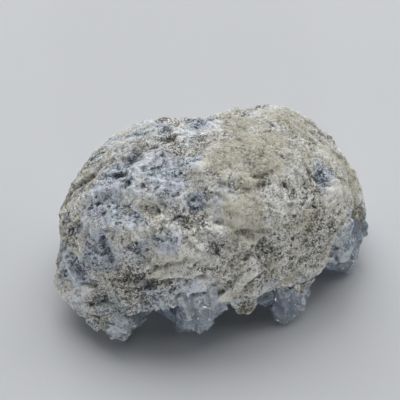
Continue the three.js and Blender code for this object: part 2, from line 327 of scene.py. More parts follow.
class Graph:
    """Adds nodes to a node tree and joins them up."""

    def __init__(self, tree: Tree) -> None:
        """Takes the tree that the nodes go into."""
        self.tree = tree

    def put(self, node: Node, key: str | int, value: Any) -> None:
        """Sets one input of a node.

        Args:
            node: the node.
            key: the input's name or number.
            value: a plain value, or another node's output, which is joined to the input.
        """
        if isinstance(value, Socket):
            self.tree.links.new(value, node.inputs[key])
        else:
            node.inputs[key].default_value = value

    def add(self, kind: str, inputs: dict[Any, Any] | None = None, **settings: Any) -> Node:
        """Adds one node.

        Args:
            kind: the node's type.
            inputs: what goes into each input, by name or number: a plain value or another node's output.
            settings: the node's own settings.

        Returns:
            The new node.
        """
        node = self.tree.nodes.new(kind)
        for setting, value in settings.items():
            setattr(node, setting, value)
        for key, value in (inputs or {}).items():
            self.put(node, key, value)
        return node

    def group(self, tree: Tree, inputs: dict[str, Any]) -> Node:
        """Places a shared group with its own values."""
        return self.add("ShaderNodeGroup", inputs, node_tree=tree)

    def math(self, operation: str, *values: Any, clamp: bool = False) -> Socket:
        """The result of a Math node."""
        node = self.add("ShaderNodeMath", dict(enumerate(values)), operation=operation, use_clamp=clamp)
        return node.outputs[0]

    def centred(self, value: Socket) -> Socket:
        """How far a value is above one half."""
        return self.math("SUBTRACT", value, 0.5)

    def vector(self, operation: str, first: Any, second: Any) -> Socket:
        """The vector that a Vector Math node gives."""
        return self.add("ShaderNodeVectorMath", {0: first, 1: second}, operation=operation).outputs[0]

    def dot(self, first: Any, second: Any) -> Socket:
        """How far one vector reaches along another."""
        node = self.add("ShaderNodeVectorMath", {0: first, 1: second}, operation="DOT_PRODUCT")
        return node.outputs["Value"]

    def scaled(self, vector: Any, factor: Any) -> Socket:
        """A vector times a number."""
        return self.add("ShaderNodeVectorMath", {0: vector, "Scale": factor}, operation="SCALE").outputs[0]

    def range(
        self,
        value: Any,
        low: float,
        high: float,
        bottom: float = 0.0,
        top: float = 1.0,
        curve: str = "LINEAR",
    ) -> Socket:
        """The value, stretched from low..high to bottom..top and held there."""
        inputs = {"Value": value, "From Min": low, "From Max": high, "To Min": bottom, "To Max": top}
        return self.add("ShaderNodeMapRange", inputs, interpolation_type=curve).outputs[0]

    def blend(self, share: Any, first: Any, second: Any) -> Socket:
        """Mixes two colours.

        Args:
            share: how much of the second colour there is, from 0 to 1.
            first: the first colour, or an output that gives it.
            second: the second colour, or an output that gives it.

        Returns:
            The mixed colour.
        """
        node = self.add("ShaderNodeMix", data_type="RGBA", blend_type="MIX", clamp_result=True)
        for key, value in ((0, share), (6, first), (7, second)):
            self.put(node, key, (*value, 1.0) if isinstance(value, tuple) else value)
        return node.outputs[2]

    def drawn_out(self, place: Any, along: Any, share: float) -> Socket:
        """The place less a share of its part along a unit vector, which draws out the patterns on it."""
        part = self.math("MULTIPLY", self.dot(place, along), share)
        return self.vector("SUBTRACT", place, self.scaled(along, part))

    def cloud(self, place: Any, size: float, detail: float, roughness: float) -> Socket:
        """Fractal noise, about 0.5 in its middle, whose largest features are of this size in metres."""
        inputs = {"Vector": place, "Scale": 1 / size, "Detail": detail, "Roughness": roughness}
        return self.add("ShaderNodeTexNoise", inputs).outputs[0]

    def swirl(self, place: Any, scale: Any, detail: float) -> Socket:
        """A vector that wanders round zero from place to place."""
        wander = self.add("ShaderNodeTexNoise", {"Vector": place, "Scale": scale, "Detail": detail})
        return self.vector("SUBTRACT", wander.outputs["Color"], MID_GREY)

    def cells(self, place: Any, scale: Any, feature: str = "F1") -> Node:
        """Rounded cells, each with a colour, a middle and the distance from it."""
        return self.add("ShaderNodeTexVoronoi", {"Vector": place, "Scale": scale}, feature=feature)

    def bump(self, height: Socket, distance: float, strength: float) -> Socket:
        """The normal of a surface that stands this far out, in metres, where the height is 1."""
        inputs = {"Height": height, "Distance": distance, "Strength": strength}
        return self.add("ShaderNodeBump", inputs).outputs[0]

    def attribute(self, name: str) -> Socket:
        """A number kept on the piece's vertices."""
        return self.add("ShaderNodeAttribute", attribute_name=name).outputs["Fac"]

    def place(self) -> Socket:
        """The place on the object, in metres."""
        return self.add("ShaderNodeTexCoord").outputs["Object"]


def new_group(name: str, numbers: dict[str, float], outputs: Sequence[str]) -> tuple[Any, Graph, Any, Any]:
    """Starts a shader node group that takes a place and some numbers.

    Args:
        name: the group's name.
        numbers: the default value of each number that goes in after the place.
        outputs: the names of its outputs, all plain numbers.

    Returns:
        The group, a graph on it, what it is given, and its output node.
    """
    group = bpy.data.node_groups.new(name, "ShaderNodeTree")
    group.interface.new_socket("Place", in_out="INPUT", socket_type="NodeSocketVector")
    for label, value in numbers.items():
        socket = group.interface.new_socket(label, in_out="INPUT", socket_type="NodeSocketFloat")
        socket.default_value = value
    for label in outputs:
        group.interface.new_socket(label, in_out="OUTPUT", socket_type="NodeSocketFloat")
    graph = Graph(group)
    return group, graph, graph.add("NodeGroupInput").outputs, graph.add("NodeGroupOutput")


def grain_group() -> Tree:
    """The sugary grain of stone: each grain has its own tone, and a groove runs round it.

    Returns:
        A group that takes the place and the grain's size, and gives a tone and a height, both 0 to 1.
    """
    group, graph, given, result = new_group("grain", {"Grain Size": MM}, ("Tone", "Height"))
    place, size = given["Place"], given["Grain Size"]
    scale = graph.math("DIVIDE", 1.0, size)
    bent = graph.vector("ADD", place, graph.scaled(graph.swirl(place, scale, 1.0), size))
    cells = graph.cells(bent, scale)
    tone = graph.add("ShaderNodeSeparateColor", {"Color": cells.outputs["Color"]})
    graph.put(result, "Tone", tone.outputs[0])
    dome = graph.math("MULTIPLY", graph.range(cells.outputs["Distance"], 0.1, 0.75, 1.0, 0.0), 0.65)
    fine_scale = graph.math("MULTIPLY", scale, 2.6)
    fine = graph.add("ShaderNodeTexNoise", {"Vector": place, "Scale": fine_scale, "Detail": 2.0})
    graph.put(result, "Height", graph.math("ADD", dome, graph.math("MULTIPLY", fine.outputs["Fac"], 0.35)))
    return group


def flake_group() -> Tree:
    """Flaky stone: flakes that each have their own tone and fine streaks along their own direction.

    Returns:
        A group that takes the place, two sizes and how far the streaks are drawn out, and gives the flake's
        tone and its streaks, both 0 to 1.
    """
    numbers = {"Flake Size": 4 * MM, "Streak Size": MM, "Draw": 0.7}
    group, graph, given, result = new_group("flakes", numbers, ("Tone", "Streaks"))
    cells = graph.cells(given["Place"], graph.math("DIVIDE", 1.0, given["Flake Size"]))
    lean = graph.vector("SUBTRACT", cells.outputs["Color"], (0.45, 0.5, 0.4))
    along = graph.add("ShaderNodeVectorMath", {0: lean}, operation="NORMALIZE").outputs[0]
    streaky = graph.drawn_out(given["Place"], along, given["Draw"])
    scale = graph.math("DIVIDE", 1.0, given["Streak Size"])
    inputs = {"Vector": streaky, "Scale": scale, "Detail": 3.0, "Roughness": 0.62}
    streaks = graph.add("ShaderNodeTexNoise", inputs)
    graph.put(result, "Streaks", graph.range(streaks.outputs[0], 0.25, 0.75))
    tone = graph.add("ShaderNodeSeparateColor", {"Color": cells.outputs["Color"]})
    graph.put(result, "Tone", tone.outputs[0])
    return group


def ragged_group() -> Tree:
    """Breaks up the soft edge of a mask, so that a stain ends in specks and tongues.

    Returns:
        A group that takes the place, a mask and the size, spread and detail of the breaks, and gives the
        broken mask, 0 to 1.
    """
    numbers = {"Mask": 0.0, "Size": 4 * MM, "Spread": 1.0, "Detail": 5.0}
    group, graph, given, result = new_group("ragged", numbers, ("Mask",))
    scale = graph.math("DIVIDE", 1.0, given["Size"])
    inputs = {"Vector": given["Place"], "Scale": scale, "Detail": given["Detail"], "Roughness": 0.62}
    cloud = graph.add("ShaderNodeTexNoise", inputs)
    swing = graph.math("MULTIPLY", graph.centred(cloud.outputs["Fac"]), given["Spread"])
    lifted = graph.math("ADD", given["Mask"], graph.math("MULTIPLY", swing, 2.0))
    graph.put(result, "Mask", graph.range(lifted, 0.25, 0.75))
    return group


@dataclass(frozen=True)
class Effects:
    """The node groups that the materials share."""

    grain: Tree
    flakes: Tree
    ragged: Tree


def new_material(name: str) -> tuple[Material, Graph, Node, Node]:
    """Starts a material.

    Args:
        name: the material's name.

    Returns:
        The material, a graph on it, its Principled BSDF and its output.
    """
    material = bpy.data.materials.new(name)
    material.use_nodes = True
    material.node_tree.nodes.clear()
    graph = Graph(material.node_tree)
    shader = graph.add("ShaderNodeBsdfPrincipled")
    output = graph.add("ShaderNodeOutputMaterial", {"Surface": shader.outputs[0]})
    return material, graph, shader, output


def let_light_in(
    graph: Graph,
    shader: Node,
    output: Node,
    transmission: float,
    murk: Colour,
    density: float,
) -> None:
    """Makes a crystal's material see-through and dims the light inside it.

    Args:
        graph: the material's nodes.
        shader: its Principled BSDF.
        output: its output.
        transmission: how much of the light passes into the crystal.
        murk: the colour that light takes on its way.
        density: how fast it takes it.
    """
    graph.put(shader, "IOR", CELESTITE_IOR)
    graph.put(shader, "Transmission Weight", transmission)
    absorption = graph.add("ShaderNodeVolumeAbsorption", {"Color": (*murk, 1.0), "Density": density})
    graph.put(output, "Volume", absorption.outputs[0])


# ---------------------------------------------------------------- finishes


@dataclass(frozen=True)
class Tones:
    """The colours of one kind of stone at low and high tone: the low colour is painted shade in hollows and
    pits as well as dark specks, the high colour painted light on crests as well as pale grain.
    """

    hollow: Colour
    crest: Colour

    def at(self, graph: Graph, tone: Socket) -> Socket:
        """The colour at a tone from 0 to 1."""
        # low tone gives painted shade in hollows, high tone painted light on crests
        return graph.blend(tone, self.hollow, self.crest)


@dataclass(frozen=True)
class Edge:
    """How a stain's edge is broken up: the size of the breaks, how far they reach and how fine they get."""

    size: float
    spread: float = 0.9
    detail: float = 5.0


@dataclass(frozen=True)
class RindFinish:
    """Weathered stone: smooth pale crust and rugged, dark-specked spots, in grey, buff and lavender blue,
    with painted shade in its hollows, pits and dark patches and painted light on its crests.
    """

    grey: Tones = Tones((0.105, 0.10, 0.085), (0.92, 0.92, 0.89))
    cream: Tones = Tones((0.11, 0.103, 0.08), (0.86, 0.84, 0.76))
    lavender: Tones = Tones((0.08, 0.09, 0.125), (0.745, 0.785, 0.875))
    ice: Tones = Tones((0.08, 0.10, 0.13), (0.75, 0.83, 0.89))
    buff: Tones = Tones((0.15, 0.14, 0.11), (0.645, 0.625, 0.525))
    rime: Tones = Tones((0.20, 0.24, 0.27), (0.86, 0.91, 0.94))
    base_tone: float = 0.68
    flow_bend: float = 3 * MM
    flow: float = 2.0 * MM
    rugged_edge: float = 2.5 * MM
    fine_grain: float = 0.42 * MM
    coarse_grain: float = 0.95 * MM
    flake: float = 3.2 * MM
    streak: float = 0.8 * MM
    crack_spacing: float = 3.2 * MM
    crack_spots: float = 8 * MM
    cloud: float = 5 * MM
    drift: float = 11 * MM
    blue_edge: Edge = Edge(7 * MM, detail=1.5)
    buff_edge: Edge = Edge(9 * MM, 0.8, 1.5)
    rime_edge: Edge = Edge(4 * MM, 1.2, 2.0)
    dark_and_shade_edge: Edge = Edge(1.3 * MM, 2.6)
    pale_edge: Edge = Edge(2.5 * MM)
    bump_grain: float = 0.8 * MM
    bump_cloud: float = 1.6 * MM
    bump_height: float = 1.0 * MM

    def tone(self, graph: Graph, effects: Effects) -> Socket:
        """Adds the nodes that say how light the stone is.

        Args:
            graph: the material's nodes.
            effects: the shared node groups.

        Returns:
            A tone from 0 to 1, low in hollows and pits as painted shade and high on crests as painted light,
            with the stone's own specks, grain and stains.
        """
        place = graph.place()
        bend = graph.scaled(graph.swirl(place, 1 / self.flow_bend, 2.0), self.flow)
        bent = graph.vector("ADD", place, bend)
        inputs = {"Place": place, "Mask": graph.attribute("rugged"), "Size": self.rugged_edge, "Spread": 0.8}
        rugged = graph.group(effects.ragged, inputs).outputs["Mask"]
        fine = graph.group(effects.grain, {"Place": place, "Grain Size": self.fine_grain}).outputs["Tone"]
        coarse = graph.group(effects.grain, {"Place": bent, "Grain Size": self.coarse_grain}).outputs["Tone"]
        inputs = {"Place": bent, "Flake Size": self.flake, "Streak Size": self.streak, "Draw": 0.72}
        flake = graph.group(effects.flakes, inputs).outputs
        limit = graph.range(rugged, 0.0, 1.0, 0.16, 0.42)
        dark_specks = graph.range(graph.math("SUBTRACT", limit, flake["Streaks"]), 0.0, 0.09)
        fold = graph.math("ABSOLUTE", graph.centred(graph.cloud(bent, self.crack_spacing, 3.0, 0.5)))
        cracked = graph.range(graph.cloud(place, self.crack_spots, 2.0, 0.5), 0.47, 0.58)
        cracks = graph.math("MULTIPLY", graph.range(fold, 0.0, 0.018, 1.0, 0.0), cracked)
        tone: Any = self.base_tone
        # where there are two shares, the first is for smooth stone and the second for rugged stone
        for source, share in (
            # crest and swell: painted light on crests and painted shade in hollows
            (graph.range(graph.attribute("crest"), -1.5, 1.5, -1.0, 1.0), 0.27),
            (graph.range(graph.attribute("swell"), -1.5, 1.5, -1.0, 1.0), 0.20),
            (graph.centred(graph.cloud(bent, self.cloud, 6.0, 0.6)), (0.5, 1.1)),
            (graph.centred(fine), (0.5, 1.3)),
            (graph.centred(coarse), (0.1, 0.3)),
            (graph.centred(flake["Tone"]), (0.12, 0.4)),
            (graph.centred(flake["Streaks"]), (0.2, 0.6)),
            (graph.attribute(Stain.BLUE.value), -0.05),
            (graph.attribute("vein"), 0.2),
            # painted shade in the pits
            (graph.attribute("pit"), -0.5),
            (dark_specks, -0.43),
            (cracks, -0.4),
            # the dark patches: dark stains and painted shade
            (self.patch(graph, effects, Stain.DARK, self.dark_and_shade_edge), -0.36),
            (self.patch(graph, effects, Stain.PALE, self.pale_edge), 0.27),
        ):
            if isinstance(share, tuple):
                share = graph.range(rugged, 0.0, 1.0, *share)
            tone = graph.math("MULTIPLY_ADD", source, share, tone)
        return graph.math("MINIMUM", graph.math("MAXIMUM", tone, 0.0), 1.0)

    def patch(self, graph: Graph, effects: Effects, stain: Stain, edge: Edge) -> Socket:
        """The mask of one stain, with its edge broken up."""
        inputs = {"Size": edge.size, "Spread": edge.spread, "Detail": edge.detail}
        inputs |= {"Place": graph.place(), "Mask": graph.attribute(stain.value)}
        return graph.group(effects.ragged, inputs).outputs["Mask"]

    def material(self, effects: Effects) -> Material:
        """Builds the material.

        Args:
            effects: the shared node groups.

        Returns:
            The finished material.
        """
        material, graph, shader, _ = new_material("rind_stone")
        tone = self.tone(graph, effects)
        place = graph.place()
        drift = graph.cloud(graph.vector("ADD", place, (0.1, 0.2, 0.3)), self.drift, 1.0, 0.5)
        blue = self.patch(graph, effects, Stain.BLUE, self.blue_edge)
        colour = self.grey.at(graph, tone)
        for mask, tones in (
            (graph.range(drift, 0.38, 0.58, 0.0, 0.9), self.cream),
            (self.patch(graph, effects, Stain.BUFF, self.buff_edge), self.buff),
            (blue, self.lavender),
            (graph.math("MULTIPLY", blue, graph.range(drift, 0.42, 0.54, 0.0, 0.8)), self.ice),
            (self.patch(graph, effects, Stain.RIME, self.rime_edge), self.rime),
        ):
            colour = graph.blend(mask, colour, tones.at(graph, tone))
        graph.put(shader, "Base Color", colour)
        graph.put(shader, "Roughness", graph.range(graph.attribute(Stain.BLUE.value), 0.2, 0.9, 0.95, 0.72))
        graph.put(shader, "Specular IOR Level", 0.35)
        fine = graph.group(effects.grain, {"Place": place, "Grain Size": self.bump_grain})
        fine = graph.math("MULTIPLY", fine.outputs["Height"], 0.4)
        height = graph.math("MULTIPLY_ADD", graph.cloud(place, self.bump_cloud, 5.0, 0.72), 1.6, fine)
        height = graph.math("MULTIPLY", height, graph.range(graph.attribute("rugged"), 0.1, 0.8, 0.45, 1.0))
        graph.put(shader, "Normal", graph.bump(height, self.bump_height, 1.0))
        return material


@dataclass(frozen=True)
class ClearFinish:
    """See-through celestite: milky in its depth, with healed cracks and a faint ripple on its faces."""

    name: str
    murk: Colour
    density: float = 80.0
    transmission: float = 0.78
    body: Colour = (0.60, 0.70, 0.80)
    deep: Colour = (0.34, 0.40, 0.50)
    crack: Colour = (0.86, 0.89, 0.92)
    veil: Colour = (0.77, 0.855, 0.945)
    veil_roughness: float = 0.55
    cloud: float = 3 * MM
    crack_spacing: float = 3.2 * MM
    grain: float = 1.0 * MM
    bump_height: float = 0.15 * MM

    def material(self, effects: Effects) -> Material:
        """Builds the material.

        Args:
            effects: the shared node groups.

        Returns:
            The finished material.
        """
        material, graph, shader, output = new_material(self.name)
        place, pale = graph.place(), graph.attribute(Stain.PALE.value)
        inputs = {"Vector": place, "Scale": 1 / self.cloud, "Detail": 5.0, "Roughness": 0.6}
        cloud, swirl = graph.add("ShaderNodeTexNoise", inputs).outputs[:2]
        bend = graph.scaled(graph.vector("SUBTRACT", swirl, MID_GREY), 0.6 * self.crack_spacing)
        fold = graph.cloud(graph.vector("ADD", place, bend), 2 * self.crack_spacing, 2.0, 0.5)
        fold = graph.math("MULTIPLY_ADD", pale, -0.015, graph.math("ABSOLUTE", graph.centred(fold)))
        cracked = graph.math("MAXIMUM", graph.range(cloud, 0.42, 0.55), pale)
        crack = graph.math("MULTIPLY", graph.range(fold, 0.0, 0.02, 1.0, 0.0), cracked)
        veil = crack
        for layer in (
            graph.range(graph.attribute("crest"), 0.6, 2.0),
            graph.math("MULTIPLY", graph.range(cloud, 0.45, 0.72), 0.6),
            graph.math("MULTIPLY", pale, 0.55),
        ):
            veil = graph.math("MAXIMUM", veil, layer)
        dark = graph.attribute(Stain.DARK.value)
        veil = graph.math("MULTIPLY", veil, graph.math("SUBTRACT", 1.0, dark, clamp=True))
        body = graph.blend(dark, self.body, self.deep)
        graph.put(shader, "Base Color", graph.blend(veil, body, self.crack))
        graph.put(shader, "Roughness", graph.range(veil, 0.0, 1.0, 0.1, 0.5))
        fine = graph.group(effects.grain, {"Place": place, "Grain Size": self.grain})
        height = graph.math("MULTIPLY_ADD", crack, 0.8, graph.math("ADD", fine.outputs["Height"], cloud))
        normal = graph.bump(height, self.bump_height, 0.7)
        graph.put(shader, "Normal", normal)
        white = {"Base Color": (*self.veil, 1.0), "Roughness": self.veil_roughness, "Normal": normal}
        milk = graph.add("ShaderNodeBsdfPrincipled", white)
        share = graph.range(graph.math("MULTIPLY", crack, pale), 0.0, 1.0, 0.65, 1.0)
        share = graph.math("MULTIPLY", veil, share)
        mixed = graph.add("ShaderNodeMixShader", {0: share, 1: shader.outputs[0], 2: milk.outputs[0]})
        graph.put(output, "Surface", mixed.outputs[0])
        let_light_in(graph, shader, output, self.transmission, self.murk, self.density)
        return material


@dataclass(frozen=True)
class FrostFinish:
    """Sugary celestite, cloudy and matt, as it lies on the crystals' roots and edges."""

    tones: Tones = Tones((0.17, 0.225, 0.29), (0.89, 0.94, 0.985))
    murk: Colour = (0.60, 0.68, 0.76)
    density: float = 120.0
    transmission: float = 0.3
    grain: float = 0.55 * MM
    cloud: float = 4 * MM
    bump_height: float = 0.4 * MM

    def material(self, effects: Effects) -> Material:
        """Builds the material.

        Args:
            effects: the shared node groups.

        Returns:
            The finished material.
        """
        material, graph, shader, output = new_material("frosted_celestite")
        place = graph.place()
        fine = graph.group(effects.grain, {"Place": place, "Grain Size": self.grain})
        cloud = graph.cloud(place, self.cloud, 7.0, 0.68)
        tone = graph.math("MULTIPLY_ADD", graph.centred(cloud), 2.2, 0.5)
        tone = graph.math("MULTIPLY_ADD", graph.centred(fine.outputs["Tone"]), 0.5, tone)
        tone = graph.math("MULTIPLY_ADD", graph.attribute("vein"), 0.35, tone)
        # painted light on crests and painted shade in hollows
        crest = graph.range(graph.attribute("crest"), -1.5, 1.5, -1.0, 1.0)
        tone = graph.math("MULTIPLY_ADD", crest, 0.4, tone, clamp=True)
        graph.put(shader, "Base Color", self.tones.at(graph, tone))
        graph.put(shader, "Roughness", graph.range(tone, 0.0, 1.0, 0.35, 0.65))
        height = graph.math("ADD", fine.outputs["Height"], cloud)
        graph.put(shader, "Normal", graph.bump(height, self.bump_height, 0.9))
        let_light_in(graph, shader, output, self.transmission, self.murk, self.density)
        return material


@dataclass(frozen=True)
class FloorFinish:
    """Pale matt table top."""

    colour: Colour = (0.595, 0.61, 0.635)
    mottling: float = 0.985

    def material(self) -> Material:
        """Builds the material.

        Returns:
            The finished material.
        """
        material, graph, shader, _ = new_material("pale_table")
        cloud = graph.add("ShaderNodeTexNoise", {"Vector": graph.place(), "Scale": 9.0, "Detail": 3.0})
        darker = tuple(self.mottling * c for c in self.colour)
        tone = graph.blend(graph.range(cloud.outputs["Fac"], 0.3, 0.7), self.colour, darker)
        graph.put(shader, "Base Color", tone)
        graph.put(shader, "Roughness", 0.9)
        graph.put(shader, "Specular IOR Level", 0.2)
        return material


# ---------------------------------------------------------------- relief and stains


@dataclass(frozen=True)
class Layer:
    """One layer of relief, pushed out along the stone's normals. Its size and height are in millimetres."""

    pattern: Pattern
    size: float
    height: float
    where: str = "open"
    detail: float = 3.0
    amount: float = 0.3
    keep: str = ""
    along: Point = (0.0, 0.0, 0.0)

    def shape(self, graph: Graph, place: Socket) -> Socket:
        """Adds the nodes of this layer's pattern.

        Args:
            graph: the geometry node tree.
            place: where the stone is, in metres.

        Returns:
            The pattern, about -1 to 1.
        """
        scale = 1 / (self.size * MM)
        if self.pattern in (Pattern.CLOUDS, Pattern.BILLOWS):
            cloud = graph.centred(graph.cloud(place, self.size * MM, self.detail, 0.55))
            if self.pattern is Pattern.CLOUDS:
                return graph.math("MULTIPLY", cloud, 2.0)
            return graph.math("SUBTRACT", graph.math("MULTIPLY", graph.math("ABSOLUTE", cloud), 4.0), 0.4)
        if self.pattern is Pattern.VEINS:
            seam = graph.cells(place, scale, "DISTANCE_TO_EDGE").outputs["Distance"]
            return graph.range(seam, 0.0, self.amount, 1.0, 0.0, "SMOOTHSTEP")
        cells = graph.cells(place, scale).outputs
        if self.pattern is Pattern.DOMES:
            return graph.range(cells["Distance"], 0.0, 0.8, 0.5, -0.5)
        if self.pattern is Pattern.PITS:
            hole = graph.range(cells["Distance"], 0.1, 0.42, 1.0, 0.0, "SMOOTHSTEP")
            draw = graph.add("FunctionNodeSeparateColor", {0: cells["Color"]}).outputs[0]
            return graph.math("MULTIPLY", hole, graph.math("LESS_THAN", draw, self.amount))
        arm = graph.vector("SUBTRACT", place, cells["Position"])
        lift = graph.dot(arm, graph.vector("SUBTRACT", cells["Color"], MID_GREY))
        return graph.math("MULTIPLY", lift, 3.0 * scale)

    def masked(self, graph: Graph, place: Socket) -> Socket:
        """Adds this layer's pattern and leaves it only where the layer lies.

        Args:
            graph: the geometry node tree.
            place: where the stone is, in metres.

        Returns:
            The pattern, about -1 to 1, and 0 where the layer doesn't lie.
        """
        shape = self.shape(graph, graph.drawn_out(place, self.along, 0.6))
        mask = graph.add("GeometryNodeInputNamedAttribute", {"Name": self.where}, data_type="FLOAT")
        return graph.math("MULTIPLY", shape, mask.outputs["Attribute"])


def roughen(piece: Piece, layers: Sequence[Layer], warp: tuple[float, float]) -> None:
    """Pushes a surface out and in by the sum of its layers of relief.

    Args:
        piece: the object whose mesh is pushed.
        layers: the layers, each with the attribute that says where it lies.
        warp: how large the bends in the layers are, and how far they reach, in metres.
    """
    tree = bpy.data.node_groups.new(f"{piece.name}_relief", "GeometryNodeTree")
    for direction in ("INPUT", "OUTPUT"):
        tree.interface.new_socket("Geometry", in_out=direction, socket_type="NodeSocketGeometry")
    graph = Graph(tree)
    surface = graph.add("NodeGroupInput").outputs[0]
    place = graph.add("GeometryNodeInputPosition").outputs[0]
    size, reach = warp
    place = graph.vector("ADD", place, graph.scaled(graph.swirl(place, 1 / size, 3.0), reach))
    height: Any = 0.0
    for layer in layers:
        shape = layer.masked(graph, place)
        height = graph.math("ADD", height, graph.math("MULTIPLY", shape, layer.height * MM))
        if layer.keep:
            inputs = {"Geometry": surface, "Name": layer.keep, "Value": shape}
            kept = graph.add("GeometryNodeStoreNamedAttribute", inputs, data_type="FLOAT", domain="POINT")
            surface = kept.outputs[0]
    push = graph.scaled(graph.add("GeometryNodeInputNormal").outputs[0], height)
    moved = graph.add("GeometryNodeSetPosition", {"Geometry": surface, "Offset": push})
    graph.add("NodeGroupOutput", {0: moved.outputs[0]})
    apply_modifier(piece, "NODES", node_group=tree)


@dataclass(frozen=True)
class Stroke:
    """A ridge, ledge or pit worked into the rind along a path. Sizes are in millimetres."""

    path: tuple[Point, ...]
    rise: float
    width: float


@dataclass(frozen=True)
class Patch:
    """A stain on the stone; a dark patch is partly painted shade. Its centre and reach are in millimetres."""

    stain: Stain
    centre: Point
    reach: float
    strength: float = 1.0

    def mask(self, points: np.ndarray) -> np.ndarray:
        """How strongly it lies on each point."""
        away = np.linalg.norm(points - np.array(self.centre) * MM, axis=1) / (self.reach * MM)
        return self.strength * np.exp(-away * away)


def patches_of(stain: Stain, *rows: tuple[float, ...]) -> tuple[Patch, ...]:
    """One stain's patches. Each row is x, y, z, the reach and, unless it is 1, the strength."""
    return tuple(Patch(stain, row[:3], *row[3:]) for row in rows)


STROKES = (
    # pale ridges on the left
    Stroke(
        (
            (-48, 3, 41), (-43, 3, 45), (-35, -3, 52), (-28, -3, 55),
            (-25, 0, 56), (-19, 2, 57), (-13, 5, 58),
        ),
        1.0,
        1.3,
    ),
    Stroke(((-30, -6, 53), (-26, -11, 53), (-18, -14, 55), (-13, -11, 55), (-9, -8, 57)), 0.7, 1.5),
    # cracks and steps
    Stroke(
        (
            (-36, 14, 47), (-39, 12, 45), (-44, 15, 39),
            (-49, 14, 32), (-52, 8, 31), (-54, 1, 31),
        ),
        -1.4,
        1.1,
    ),
    Stroke(((-10, -22, 49), (-4, -25, 47), (0, -27, 45), (5, -29, 43), (11, -29, 42)), -1.1, 1.0),
    Stroke(((9, -15, 55), (13, -16, 55), (17, -15, 55)), -1.0, 0.8),
    Stroke(((10, -18, 53), (15, -18, 53)), -0.8, 0.8),
    Stroke(((-32, -14, 49), (-31, -17, 48), (-32, -20, 46)), -0.9, 1.4),
    # bulges low on the left and along the left shoulder
    Stroke(((-55, -8, 20), (-55, -10, 12)), 1.3, 7.0),
    Stroke(((-38, 25, 36), (-28, 29, 41), (-20, 34, 42), (-14, 29, 48)), 1.3, 6.0),
    # folds across the lower front
    Stroke(((-36, -26, 30), (-32, -27, 34), (-25, -28, 37), (-17, -30, 39)), -1.2, 1.0),
    Stroke(((-35, -26, 32), (-30, -27, 36), (-24, -28, 39), (-16, -29, 41)), 0.8, 1.4),
    Stroke(((-38, -26, 25), (-32, -28, 29), (-23, -31, 31), (-17, -32, 32), (-9, -33, 31)), -1.2, 1.0),
    Stroke(((-36, -26, 28), (-31, -28, 31), (-23, -30, 33), (-15, -32, 34)), 0.8, 1.3),
    Stroke(((1, -28, 44), (8, -30, 40), (12, -32, 33)), -1.1, 1.2),
    # pits
    Stroke(((-12, 11, 55),), -2.0, 2.0),
    Stroke(((-25, 8, 52), (-28, 6, 52)), -1.2, 2.5),
    Stroke(((-32, 3, 51),), -1.8, 1.6),
    Stroke(((-32, -2, 54),), -1.8, 1.3),
    Stroke(((-30, -4, 54),), -1.5, 0.9),
    Stroke(((-12, -16, 52), (-11, -18, 50)), -1.2, 1.8),
    Stroke(((-43, -13, 41), (-42, -19, 36)), -1.5, 1.6),
    Stroke(((35, -14, 47), (36, -17, 45)), -1.0, 2.0),
    Stroke(((49, -18, 26),), -1.2, 1.8),
    Stroke(((-23, -24, 46),), -0.9, 2.0),
    # glassy knobs at the top on the left
    Stroke(((-14, 22, 52),), 1.2, 1.6),
    Stroke(((-10, 19, 54),), 1.0, 1.4),
    # white blades on the right
    Stroke(((32, -19, 46), (36, -19, 44), (42, -19, 40)), 1.0, 0.9),
    Stroke(((30, -14, 51), (33, -19, 46), (34, -24, 40)), 0.7, 0.8),
    # the pale rib at the front
    Stroke(((-8, -34, 21), (-2, -35, 28), (3, -34, 33), (6, -32, 36)), 1.8, 1.3),
    Stroke(((2, -35, 21), (5, -35, 28), (10, -33, 32)), -1.2, 1.4),
    Stroke(((-8, -32, 30), (-2, -32, 35), (2, -31, 38)), -1.0, 1.2),
)

